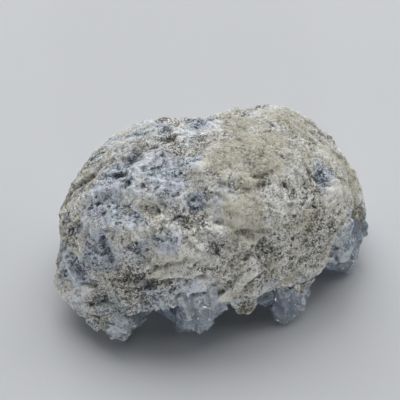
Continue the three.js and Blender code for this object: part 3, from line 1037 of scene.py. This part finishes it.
PATCHES = (
    # lavender blue: most of the left, the low front and a spot at the right end
    *patches_of(
        Stain.BLUE,
        (-40, -3, 48, 11), (-30, 4, 53, 11), (-19, -5, 56, 9), (0, 16, 54, 8), (-32, -16, 48, 5, 0.8),
        (-23, -25, 45, 5), (-43, -16, 37, 8.5), (-4, -17, 53, 6, 0.5), (-52, -11, 25, 8), (44, -25, 22, 9),
        (-20, -32, 22, 9, 0.9), (-22, 22, 46, 7), (-7, 2, 58, 5, 0.6), (-26, 8, 52, 5),
        (-12, 20, 53, 5, 0.8), (-16, -11, 55, 5), (-49, 0, 38, 5, 0.5), (-10, -4, 57, 6, 0.7),
        (-34, -21, 41, 6, 0.6), (-28, -30, 25, 6, 0.6), (-11, -17, 51, 4), (35, -16, 47, 4.5),
        (-53, -15, 15, 6, 0.5), (-50, 4, 37, 4, 0.7), (-52, -6, 33, 3, 0.5),
    ),
    # smooth buff: the crown, the saddle, the right end and spots on the left
    *patches_of(
        Stain.BUFF,
        (7, -4, 57, 12), (18, -4, 58, 15), (13, 8, 57, 11, 0.8), (34, 11, 50, 11), (-37, 14, 46, 7, 0.7),
        (-51, 5, 32, 6, 0.6), (-28, 16, 49, 6, 0.6), (3, -24, 49, 9.5, 1.1), (50, -4, 36, 14),
        (-45, -8, 43, 4, 0.5), (-35, -12, 48, 5, 0.6), (27, -26, 40, 11, 0.5), (15, -31, 35, 9, 0.5),
        (-25, -28, 37, 7, 0.5), (-24, 14, 51, 5, 0.8), (9, -15, 55, 7), (7, -29, 42, 8, 0.8),
        (18, -33, 19, 8, 0.6), (48, -17, 26, 6), (32, -7, 52, 5, 0.8), (50, -12, 32, 6, 0.8),
        (-48, -19, 16, 7, 0.5), (-51, 17, 29, 7, 0.6), (-2, -34, 22, 5, 0.6), (1, -37, 10, 5, 0.8),
    ),
    # rugged spots full of specks
    *patches_of(
        Stain.PEPPER,
        (18, -33, 21, 5), (-36, -27, 28, 9), (-46, -21, 18, 7), (-52, -3, 35, 6), (24, -30, 33, 13),
        (11, -32, 32, 8), (-18, -21, 50, 6), (28, -21, 46, 10), (1, 6, 57, 7, 0.5), (13, -17, 54, 5),
        (-7, -6, 57, 4, 0.7),
    ),
    # dark stains, with painted shade in hollows and steps, on the shaded left side and along the low front
    # rim
    *patches_of(
        Stain.DARK,
        (-32, 3, 51, 3), (-31, -3, 54, 3), (-42, 13, 42, 4), (-52, 8, 32, 4), (-12, 11, 55, 3, 1.3),
        (-20, 14, 53, 3, 0.6), (-11, -17, 51, 4, 0.8), (-42, -16, 38, 4), (-52, -13, 26, 4),
        (34, -15, 48, 5), (48, -17, 26, 6), (-27, 9, 53, 6), (-37, 7, 49, 5, 0.9), (-11, -3, 57, 5, 0.5),
        (30, -4, 53, 6, 0.5), (28, 8, 54, 6, 0.5), (-34, -12, 48, 4, 1.2), (0, -30, 41, 3.5, 0.8),
        (9, -32, 34, 4, 0.9), (18, -33, 19, 5, 0.7), (31, -30, 23, 4, 0.7), (-26, -31, 22, 4, 0.8),
        (-29, -26, 38, 4), (-19, -5, 56, 4, 0.4), (13, -16, 55, 4, 0.9), (1, -37, 10, 5),
        (4, -35, 25, 3.5, 0.7), (-4, -32, 33, 3, 0.6), (-26, 11, 52, 4, 0.6), (35, -3, 52, 4, 0.6),
        (29, 11, 54, 5, 0.5), (-52, 10, 26, 8, 0.8), (-39, 20, 41, 6, 0.9), (-52, 4, 31, 8),
        (-51, 17, 29, 7), (-37, 25, 39, 6, 0.9), (22, -24, 47, 4, 0.7), (-42, -23, 23, 6, 0.7),
        (3, -34, 13, 4), (-38, -27, 18, 5, 0.6), (-28, -30, 25, 6), (-19, -17, 52, 4, 0.6),
        (22, -32, 24, 5, 0.6), (6, -37, 10, 3, 0.7), (-12, -25, 45, 5, 0.8), (8, -31, 32, 5, 0.9),
        (15, -33, 20, 5, 0.7), (-33, -28, 22, 4, 0.7),
    ),
    # pale crests and seams
    *patches_of(
        Stain.PALE,
        (-41, -1, 49, 4), (-30, -9, 52, 5), (-27, -3, 55, 4), (-20, 2, 57, 4), (-20, -14, 54, 4, 0.5),
        (-8, -8, 57, 5), (27, -25, 43, 4), (38, -19, 43, 4), (-7, -28, 43, 4, 0.5), (3, -30, 39, 4, 0.5),
        (21, -31, 33, 5), (-24, -27, 41, 5), (-2, -35, 29, 5), (-9, -33, 26, 5), (-36, -18, 45, 6),
        (-30, -29, 32, 4, 0.5), (-6, 3, 58, 4, 0.4), (-11, -10, 56, 4), (4, -17, 54, 6, 1.3),
        (-6, -19, 52, 4), (-1, -24, 49, 5, 1.2), (16, -26, 45, 6), (44, -18, 36, 6), (-16, -28, 42, 6),
        (-28, -29, 31, 5), (-8, -34, 21, 5), (-36, -4, 51, 5, 1.2), (-40, -5, 48, 5, 0.6),
        (21, -17, 51, 4.5, 1.2), (-42, -12, 41, 5), (-53, -12, 17, 7), (-9, -33, 24, 5, 1.3),
        (3, -34, 32, 5, 1.4), (-18, -32, 26, 5, 1.2),
    ),
    # frosted rock over the front crystals and at the back of the top on the left
    *patches_of(
        Stain.RIME,
        (-16, -33, 20, 7, 1.1), (-14, 17, 54, 6, 0.7), (-26, 29, 42, 6, 0.6), (-16, 30, 46, 7, 0.75),
        (-35, 24, 41, 5, 0.45), (-4, 9, 57, 6, 0.6), (-29, -29, 21, 6, 0.6),
    ),
)

CRYSTAL_PATCHES = (
    # clear, deep windows
    *patches_of(
        Stain.DARK,
        (-24, -30, 14, 5.5, 1.2), (-16, -31, 7, 2, 0.6), (11, -34, 12, 5), (17, -36, 7, 5, 0.4),
        (45, -21, 24, 4, 1.2), (41, -26, 8, 5.5, 1.3), (52, -18, 14, 4, 0.7), (-34, -26, 10, 4),
    ),
    # frosted skins
    *patches_of(
        Stain.RIME,
        (-19, -33, 15, 3), (-18, -34, 7, 3), (-16, -32, 19, 3, 0.5), (-9, -34, 22, 3.5),
        (23, -35, 8, 3, 0.6), (42, -26, 17, 4.5), (-41, -29, 8, 4.5, 0.8), (-41, -28, 14, 3, 0.6),
    ),
    # milky, cracked depths
    *patches_of(
        Stain.PALE,
        (-12, -33, 12, 5.5, 1.2),
    ),
    # rock that still covers the crystals
    *patches_of(
        Stain.BUFF,
        (24, -33, 13, 3.5, 0.8), (50, -18, 23, 6.5, 1.2), (-46, -24, 12, 6, 0.6),
    ),
)


# ---------------------------------------------------------------- the rind


@dataclass
class Rind:
    """The rough stone shell, as a finely meshed and weathered copy of its CAD node."""

    node: str = "rind"
    name: str = "rind_shell"
    voxel: float = 0.5 * MM
    clear_of_lining: tuple[float, float] = (0.6 * MM, 3.0 * MM)
    behind_lining: tuple[float, float] = (1.5 * MM, 2.5 * MM)
    rim_band: float = 3.0 * MM
    rim_share: float = 0.4
    rime_reach: float = 5.0 * MM
    rugged_size: float = 8.0 * MM
    kept_faces: float = 0.72
    crest_height: float = 0.25 * MM
    swell_height: float = 0.8 * MM
    warp: tuple[float, float] = (7.0 * MM, 3.0 * MM)
    layers: tuple[Layer, ...] = (
        Layer(Pattern.CLOUDS, 12.0, 1.9, detail=5.0),
        Layer(Pattern.CHIPS, 6.5, 0.75, "rough"),
        Layer(Pattern.BILLOWS, 5.0, 1.1, "folded", detail=4.0, along=(0.86, 0.0, 0.5)),
        Layer(Pattern.CHIPS, 2.8, 0.5, "knobbly"),
        Layer(Pattern.VEINS, 9.0, 0.7, "seamed", amount=0.12, keep="vein"),
        Layer(Pattern.PITS, 2.8, -1.1, "pitted", amount=0.25, keep="pit"),
        Layer(Pattern.DOMES, 1.3, 0.16, "knobbly"),
    )
    piece: Piece | None = field(default=None, init=False)

    def build(self) -> Piece:
        """Makes the shell's mesh and stores what its finish reads.

        Returns:
            The finished piece, with no material.
        """
        self.piece = copy_of_node(self.node, self.name)
        apply_modifier(self.piece, "REMESH", mode="VOXEL", voxel_size=self.voxel, use_smooth_shade=True)
        apply_modifier(self.piece, "SMOOTH", factor=0.5, iterations=4)
        self.mark_open_stone()
        self.work_strokes()
        roughen(self.piece, self.layers, self.warp)
        self.read_relief()
        self.stain()
        return self.piece

    def mark_open_stone(self) -> None:
        """Weighs where each layer of relief lies, and leaves few faces where the crystals hide the stone."""
        points = points_of(self.piece)
        lining = gaps_to(points, surface_of(CRUST_NODE))
        rim = smooth_step(gaps_to(points, surface_of(*RIM_NODES)), 0, self.rim_band)
        clear = smooth_step(lining, *self.clear_of_lining) * (self.rim_share + (1 - self.rim_share) * rim)
        smooth = np.maximum(self.patches(points, Stain.BUFF), self.patches(points, Stain.RIME))
        blue, pepper = self.patches(points, Stain.BLUE), self.patches(points, Stain.PEPPER)
        clouds = clouds_at(points, self.rugged_size, 0.8, 3)
        rugged = np.clip(0.42 + 0.9 * clouds + 0.5 * pepper - 0.45 * smooth, 0, 1)
        for name, values in (
            ("open", clear),
            ("rough", clear * (1 - np.maximum(0.7 * smooth, 0.4 * blue))),
            ("seamed", clear * blue),
            ("rugged", rugged),
            ("knobbly", clear * rugged),
            ("folded", clear * np.clip(rugged + 0.3 * (1 - smooth), 0, 1)),
            ("pitted", clear * rugged * np.maximum(blue, pepper)),
        ):
            keep_attribute(self.piece, name, values)
        weigh(self.piece, "hidden", 1 - smooth_step(lining, *self.behind_lining))
        apply_modifier(
            self.piece, "DECIMATE", ratio=self.kept_faces, vertex_group="hidden", vertex_group_factor=8.0
        )

    def work_strokes(self) -> None:
        """Works the larger ridges, ledges and pits into the stone."""
        points = points_of(self.piece)
        push = np.zeros(len(points))
        for stroke in STROKES:
            reach = distance_to_path(points, stroke.path) / (stroke.width * MM)
            push += stroke.rise * MM * np.exp(-reach * reach)
        move_points(self.piece, points + normals_of(self.piece) * push[:, None])

    def read_relief(self) -> None:
        """Stores how far each place stands above or below the stone round it, finely and broadly, which the
        finishes turn into painted shade in hollows and painted light on crests.
        """
        points, edges, normals = points_of(self.piece), edges_of(self.piece), normals_of(self.piece)
        near = smoothed(points, edges, 8)
        far = smoothed(near, edges, 60)
        keep_attribute(self.piece, "crest", ((points - near) * normals).sum(1) / self.crest_height)
        keep_attribute(self.piece, "swell", ((near - far) * normals).sum(1) / self.swell_height)

    def patches(self, points: np.ndarray, stain: Stain) -> np.ndarray:
        """How strongly a stain lies on each point: there, its strongest patch counts."""
        masks = [patch.mask(points) for patch in PATCHES if patch.stain is stain]
        return np.max(masks, axis=0)

    def stain(self) -> None:
        """Stores a mask for each stain, the dark one partly painted shade. Rime also lies next to the rim's
        crystals.
        """
        points = points_of(self.piece)
        for stain in Stain:
            mask = self.patches(points, stain)
            if stain is Stain.RIME:
                near = 0.8 * np.exp(-((gaps_to(points, surface_of(*RIM_NODES)) / self.rime_reach) ** 2))
                mask = np.maximum(mask, near) * (1 - 0.8 * self.patches(points, Stain.BUFF))
            keep_attribute(self.piece, stain.value, mask)


# ---------------------------------------------------------------- the crystals


class Habit(Enum):
    """The shape that a crystal grows in: how flat it is, how long its tip is and how wide the tip's end."""

    BLADE = (0.45, 0.30, 0.62)
    PRISM = (0.85, 0.35, 0.30)
    TABLE = (0.60, 0.12, 0.78)


@dataclass
class CrystalModel:
    """One crystal of unit length, standing on the origin along +Z. Copies of its mesh make the druse."""

    habit: Habit
    width: float = 0.42
    bevel: float = 0.02

    def build(self) -> Model:
        """Models the crystal by hand.

        Returns:
            Its vertices, and its faces as lists of vertex numbers.
        """
        flatness, tip, top_share = self.habit.value
        shaft = 1 - tip
        bpy.ops.object.select_all(action="DESELECT")
        bpy.ops.mesh.primitive_cylinder_add(
            vertices=6, radius=self.width / 2, depth=shaft, location=(0, 0, shaft / 2)
        )
        crystal = bpy.context.active_object
        bpy.ops.object.transform_apply(location=True, rotation=True, scale=True)
        bpy.ops.object.mode_set(mode="EDIT")
        bpy.ops.mesh.select_all(action="SELECT")
        bpy.ops.transform.resize(value=(1, flatness, 1), center_override=(0, 0, 0))
        bpy.ops.mesh.select_all(action="DESELECT")
        bpy.ops.object.mode_set(mode="OBJECT")
        for face in crystal.data.polygons:
            face.select = face.normal.z > 0.9
        bpy.ops.object.mode_set(mode="EDIT")
        bpy.ops.mesh.extrude_region_move(TRANSFORM_OT_translate={"value": (0, 0, tip)})
        bpy.ops.transform.resize(value=(top_share, top_share * 0.35, 1), center_override=(0, 0, 1))
        bpy.ops.mesh.select_all(action="SELECT")
        bpy.ops.mesh.bevel(offset=self.bevel, offset_type="OFFSET", segments=1)
        bpy.ops.mesh.normals_make_consistent(inside=False)
        bpy.ops.object.mode_set(mode="OBJECT")
        model = points_of(crystal), [list(face.vertices) for face in crystal.data.polygons]
        bpy.data.objects.remove(crystal)
        return model


@dataclass
class Cluster:
    """The vertices and faces of a crystal group while young crystals are set on it."""

    corners: list[Point]
    faces: list[list[int]]

    def plant(self, model: Model, foot: Vector, axis: Vector, size: np.ndarray, turn: float) -> None:
        """Adds one crystal, unless it would reach below the table top.

        Args:
            model: the unit crystal.
            foot: where it stands, in metres.
            axis: the way it points, as a unit vector.
            size: how large it is along each of its own axes, in metres.
            turn: how far it is turned about its own axis, in radians.
        """
        points, faces = model
        pose = axis.to_track_quat("Z", "Y") @ Quaternion((0, 0, 1), turn)
        placed = (points * size) @ np.array(pose.to_matrix()).T + np.array(foot)
        if placed[:, 2].min() < CAD_BOX[0].z:
            return
        start = len(self.corners)
        self.corners.extend(map(tuple, placed))
        self.faces.extend([start + v for v in face] for face in faces)


class Skin(Enum):
    """What a face of a crystal group is dressed in. Each value is its material's place on the mesh."""

    CLEAR = 0
    FROST = 1
    STONE = 2


@dataclass(frozen=True)
class Spar:
    """A crystal set one by one. Its foot, tip and width are in millimetres."""

    foot: Point
    tip: Point
    width: float


@dataclass
class CrystalGroup:
    """Crystals grown together: a CAD node's crystals with young ones on them, all one finely meshed solid.

    Sizes are in millimetres.
    """

    node: str
    name: str
    tint: Tint
    young: int
    seed: int
    frosting: float
    crusting: float = 0.0
    spars: tuple[Spar, ...] = ()
    voxel: float = 0.32
    young_length: tuple[float, float] = (4.0, 8.0)
    young_breadth: tuple[float, float] = (1.0, 1.7)
    lean: Point = (0.0, -0.4, -0.8)
    jitter: float = 0.3
    root: float = 4.0
    crest_height: float = 0.12
    spot_size: float = 2.5
    warp: tuple[float, float] = (4.0, 1.5)
    layers: tuple[Layer, ...] = (
        Layer(Pattern.CHIPS, 5.0, 0.45, "face"),
        Layer(Pattern.CLOUDS, 3.0, 0.22, "face", detail=4.0),
    )
    piece: Piece | None = field(default=None, init=False)

    def build(self, habits: Sequence[Model], stone: BVHTree) -> Piece:
        """Makes the group's mesh and chooses what each face is dressed in.

        Args:
            habits: the crystal models that the young ones are copies of.
            stone: the rind's CAD surface.

        Returns:
            The finished piece, whose materials go in the order of Skin.
        """
        self.piece = copy_of_node(self.node, self.name)
        self.grow(habits)
        apply_modifier(self.piece, "REMESH", mode="VOXEL", voxel_size=self.voxel * MM, use_smooth_shade=True)
        apply_modifier(self.piece, "SMOOTH", factor=0.5, iterations=2)
        keep_attribute(self.piece, "face", np.ones(len(self.piece.data.vertices)))
        size, reach = self.warp
        roughen(self.piece, self.layers, (size * MM, reach * MM))
        points = points_of(self.piece)
        points[:, 2] = np.maximum(points[:, 2], CAD_BOX[0].z)
        move_points(self.piece, points)
        self.choose_skin(stone)
        return self.piece

    def grow(self, habits: Sequence[Model]) -> None:
        """Sets young crystals on the faces of the old ones, and the spars where they stand.

        Args:
            habits: the crystal models, in the order of Habit.
        """
        draw = random.Random(self.seed)
        mesh = self.piece.data
        weights = [face.area for face in mesh.polygons]
        corners = [tuple(v.co) for v in mesh.vertices]
        cluster = Cluster(corners, [list(face.vertices) for face in mesh.polygons])
        for face in draw.choices(list(mesh.polygons), weights, k=self.young):
            length = draw.uniform(*self.young_length) * MM
            jitter = Vector([draw.uniform(-self.jitter, self.jitter) for _ in range(3)])
            axis = (face.normal * 0.6 + Vector(self.lean) + jitter).normalized()
            share = [draw.random() for _ in face.vertices]
            foot = sum((mesh.vertices[v].co * w for v, w in zip(face.vertices, share)), Vector()) / sum(share)
            foot -= (axis * 0.45 + face.normal * 0.15) * length
            breadth = [draw.uniform(*self.young_breadth) for _ in range(2)]
            size = np.array((*breadth, 1.0)) * length
            cluster.plant(draw.choice(habits), foot, axis, size, draw.uniform(0, math.pi))
        prism = habits[list(Habit).index(Habit.PRISM)]
        for spar in self.spars:
            foot, span = Vector(spar.foot) * MM, (Vector(spar.tip) - Vector(spar.foot)) * MM
            across = spar.width * MM / CrystalModel.width
            size = np.array((across, across, span.length))
            cluster.plant(prism, foot, span.normalized(), size, draw.uniform(0, math.pi))
        self.piece.data = bpy.data.meshes.new(self.name)
        self.piece.data.from_pydata(cluster.corners, [], cluster.faces)

    def choose_skin(self, stone: BVHTree) -> None:
        """Leaves each face clear, frosts it or crusts it with stone: frost lies on roots, edges and spots.

        Args:
            stone: the rind's CAD surface.
        """
        points, edges, normals = points_of(self.piece), edges_of(self.piece), normals_of(self.piece)
        crest = ((points - smoothed(points, edges, 6)) * normals).sum(1) / (self.crest_height * MM)
        root = 1 - np.clip(gaps_to(points, stone) / (self.root * MM), 0, 1)
        clouds = clouds_at(points, self.spot_size * MM, 0.7, 4)
        stains = (Stain.DARK, Stain.PALE, Stain.BUFF, Stain.RIME)
        deep, milky, stony, frosted = (self.patches(points, stain) for stain in stains)
        frost = 1.1 * root + 0.4 * np.clip(crest, 0, 1.5) + 0.8 * clouds + self.frosting - 0.8
        frost += 1.5 * (frosted - deep - milky)
        crust = 0.9 * root + 0.5 * normals[:, 2] + 0.8 * clouds + self.crusting - 1.1
        crust += 1.5 * (stony - frosted - deep - milky)
        self.dress_faces({Skin.FROST: frost, Skin.STONE: crust})
        for name, values in (
            ("crest", crest),
            # the stone crust on the crystals is made darker through a low swell value and the dark mask
            ("swell", -1.2 * stony),
            ("vein", np.clip(frosted, 0, 1)),
            ("rugged", np.full(len(points), 0.6)),
            (Stain.DARK.value, np.clip(deep + 0.8 * stony, 0, 0.8)),
            (Stain.PALE.value, np.clip(milky, 0, 1)),
            (Stain.BUFF.value, stony),
            (Stain.RIME.value, 0.55 * np.clip(1 - stony, 0, 1)),
        ):
            keep_attribute(self.piece, name, values)

    def patches(self, points: np.ndarray, stain: Stain) -> np.ndarray:
        """How strongly a stain lies on each point: there, its patches add up."""
        masks = [patch.mask(points) for patch in CRYSTAL_PATCHES if patch.stain is stain]
        return np.sum(masks, axis=0)

    def dress_faces(self, cover: dict[Skin, np.ndarray]) -> None:
        """Gives each face the last skin that is above zero over its corners, or else leaves it clear.

        Args:
            cover: how thickly each skin lies on each vertex.
        """
        mesh = self.piece.data
        corners = rows_of(mesh.loops, "vertex_index", 1, np.int32)[:, 0]
        starts = rows_of(mesh.polygons, "loop_start", 1, np.int32)[:, 0]
        chosen = np.full(len(starts), Skin.CLEAR.value, np.int32)
        for skin, thickness in cover.items():
            chosen[np.add.reduceat(thickness[corners], starts) > 0] = skin.value
        mesh.polygons.foreach_set("material_index", chosen)


# ---------------------------------------------------------------- the studio


@dataclass(frozen=True)
class Lamp:
    """A round soft lamp. Its azimuth runs from +Y towards +X, in degrees, and its size is in metres."""

    name: str
    azimuth: float
    elevation: float
    size: float
    power: float


@dataclass
class Studio:
    """The pale table, the soft light and the camera."""

    aim: Point = (-3.479, 0.230, 33.0)
    azimuth: float = -18.0
    elevation: float = 46.0
    distance: float = 400.0
    lens: float = 102.0
    nearest: float = 0.01
    table_size: float = 6.0
    sky: float = 0.01
    sky_colour: Colour = (0.97, 0.985, 1.0)
    lamp_distance: float = 3.0
    lamps: tuple[Lamp, ...] = (
        Lamp("main_lamp", -2.0, 53.0, 2.2, 49.0),
        Lamp("side_lamp", 54.0, 57.0, 2.2, 34.0),
        Lamp("top_lamp", 0.0, 85.0, 2.2, 13.0),
        Lamp("front_fill", 192.0, 4.0, 0.4, 30.0),
        Lamp("right_fill", 92.0, 18.0, 1.8, 20.0),
        Lamp("back_fill", 315.0, 18.0, 1.8, 16.0),
    )

    def build(self) -> None:
        """Sets up the table, light and camera."""
        self.lay_table()
        self.light_room()
        self.hang_lamps()
        self.set_camera()
        bpy.context.scene.view_settings.view_transform = "Standard"

    def lay_table(self) -> None:
        """Lays the table top under the stone."""
        bpy.ops.mesh.primitive_plane_add(size=self.table_size, location=(0, 0, CAD_BOX[0].z))
        table = bpy.context.active_object
        table.name = "table_top"
        table.data.materials.append(FloorFinish().material())

    def light_room(self) -> None:
        """Lights the room faintly from all round."""
        world = bpy.data.worlds.new("room")
        world.use_nodes = True
        sky = world.node_tree.nodes["Background"]
        sky.inputs["Color"].default_value = (*self.sky_colour, 1.0)
        sky.inputs["Strength"].default_value = self.sky
        bpy.context.scene.world = world

    def hang_lamps(self) -> None:
        """Hangs the soft lamps round the stone."""
        for plan in self.lamps:
            turn, rise = math.radians(plan.azimuth), math.radians(plan.elevation)
            away = Vector((math.sin(turn) * math.cos(rise), math.cos(turn) * math.cos(rise), math.sin(rise)))
            bpy.ops.object.light_add(type="AREA", location=away * self.lamp_distance)
            lamp = bpy.context.active_object
            lamp.name = plan.name
            lamp.data.shape = "DISK"
            lamp.data.size = plan.size
            lamp.data.energy = plan.power
            lamp.rotation_euler = away.to_track_quat("Z", "Y").to_euler()

    def set_camera(self) -> None:
        """Sets the camera up, looking down at the stone."""
        turn, tilt = math.radians(self.azimuth), math.radians(self.elevation)
        back = Vector((math.sin(turn) * math.cos(tilt), -math.cos(turn) * math.cos(tilt), math.sin(tilt)))
        data = bpy.data.cameras.new("camera")
        camera = bpy.data.objects.new("camera", data)
        bpy.context.scene.collection.objects.link(camera)
        data.lens = self.lens
        data.clip_start = self.nearest
        camera.location = Vector(self.aim) * MM + back * self.distance * MM
        camera.rotation_euler = (-back).to_track_quat("-Z", "Y").to_euler()
        bpy.context.scene.camera = camera


GROUPS = (
    CrystalGroup(
        "rim_crystals_left",
        "rim_druse_left",
        Tint.SEA_GREY,
        young=9,
        seed=1,
        frosting=0.6,
        crusting=0.5,
        spars=(Spar((-44.5, -23, 18), (-44, -27.5, 3.5), 7.5),),
    ),
    CrystalGroup(
        "rim_crystals_front",
        "rim_druse_front",
        Tint.PALE_SKY,
        young=5,
        seed=8,
        frosting=0.45,
        spars=(
            Spar((-14, -31, 24), (-12.5, -36, 6.5), 10.5),
            Spar((-10.5, -31, 28), (-9.5, -36, 15), 6.5),
            Spar((-21, -30.5, 24), (-17, -34.5, 6), 6),
            Spar((-27, -28.5, 21), (-22, -30.5, 8), 5),
            Spar((-10, -31, 21), (-5, -34.5, 13), 4.5),
        ),
    ),
    CrystalGroup("rim_crystals_right", "rim_druse_right", Tint.SLATE, young=6, seed=3, frosting=0.15),
    CrystalGroup(
        "rim_crystals_end",
        "rim_druse_end",
        Tint.SKY,
        young=4,
        seed=11,
        frosting=0.5,
        crusting=0.2,
        spars=(Spar((41, -23, 31), (42, -27, 13), 9), Spar((47, -17, 27), (51, -19, 9), 8)),
    ),
    CrystalGroup(
        "rim_crystals_back_left",
        "rim_druse_back_left",
        Tint.SKY,
        young=10,
        seed=5,
        frosting=0.3,
        lean=(0.0, 0.4, -0.8),
    ),
    CrystalGroup(
        "rim_crystals_back_right",
        "rim_druse_back_right",
        Tint.SLATE,
        young=10,
        seed=6,
        frosting=0.3,
        lean=(0.0, 0.4, -0.8),
    ),
    CrystalGroup(
        CRUST_NODE,
        "hollow_druse",
        Tint.PALE_SKY,
        young=150,
        seed=7,
        frosting=0.1,
        voxel=0.62,
        young_length=(5.0, 10.0),
        lean=(0.0, 0.0, -0.3),
    ),
)


def main() -> None:
    """Builds every piece, dresses it and sets up the studio."""
    logging.basicConfig(level=logging.INFO, format="%(name)s: %(message)s")
    bpy.ops.object.select_all(action="DESELECT")
    effects = Effects(grain_group(), flake_group(), ragged_group())
    Studio().build()
    stone = RindFinish().material(effects)
    rind = Rind().build()
    rind.data.materials.append(stone)
    settle(rind, Slot.STONE, "rind")
    frost = FrostFinish().material(effects)
    clear = {}
    for tint in Tint:
        clear[tint] = ClearFinish(f"clear_{tint.name.lower()}_celestite", tint.value).material(effects)
    habits = [CrystalModel(habit).build() for habit in Habit]
    surface = surface_of("rind")
    for group in GROUPS:
        piece = group.build(habits, surface)
        for material in (clear[group.tint], frost, stone):
            piece.data.materials.append(material)
        settle(piece, Slot.CELESTITE, group.node)


if __name__ == "__main__":
    main()
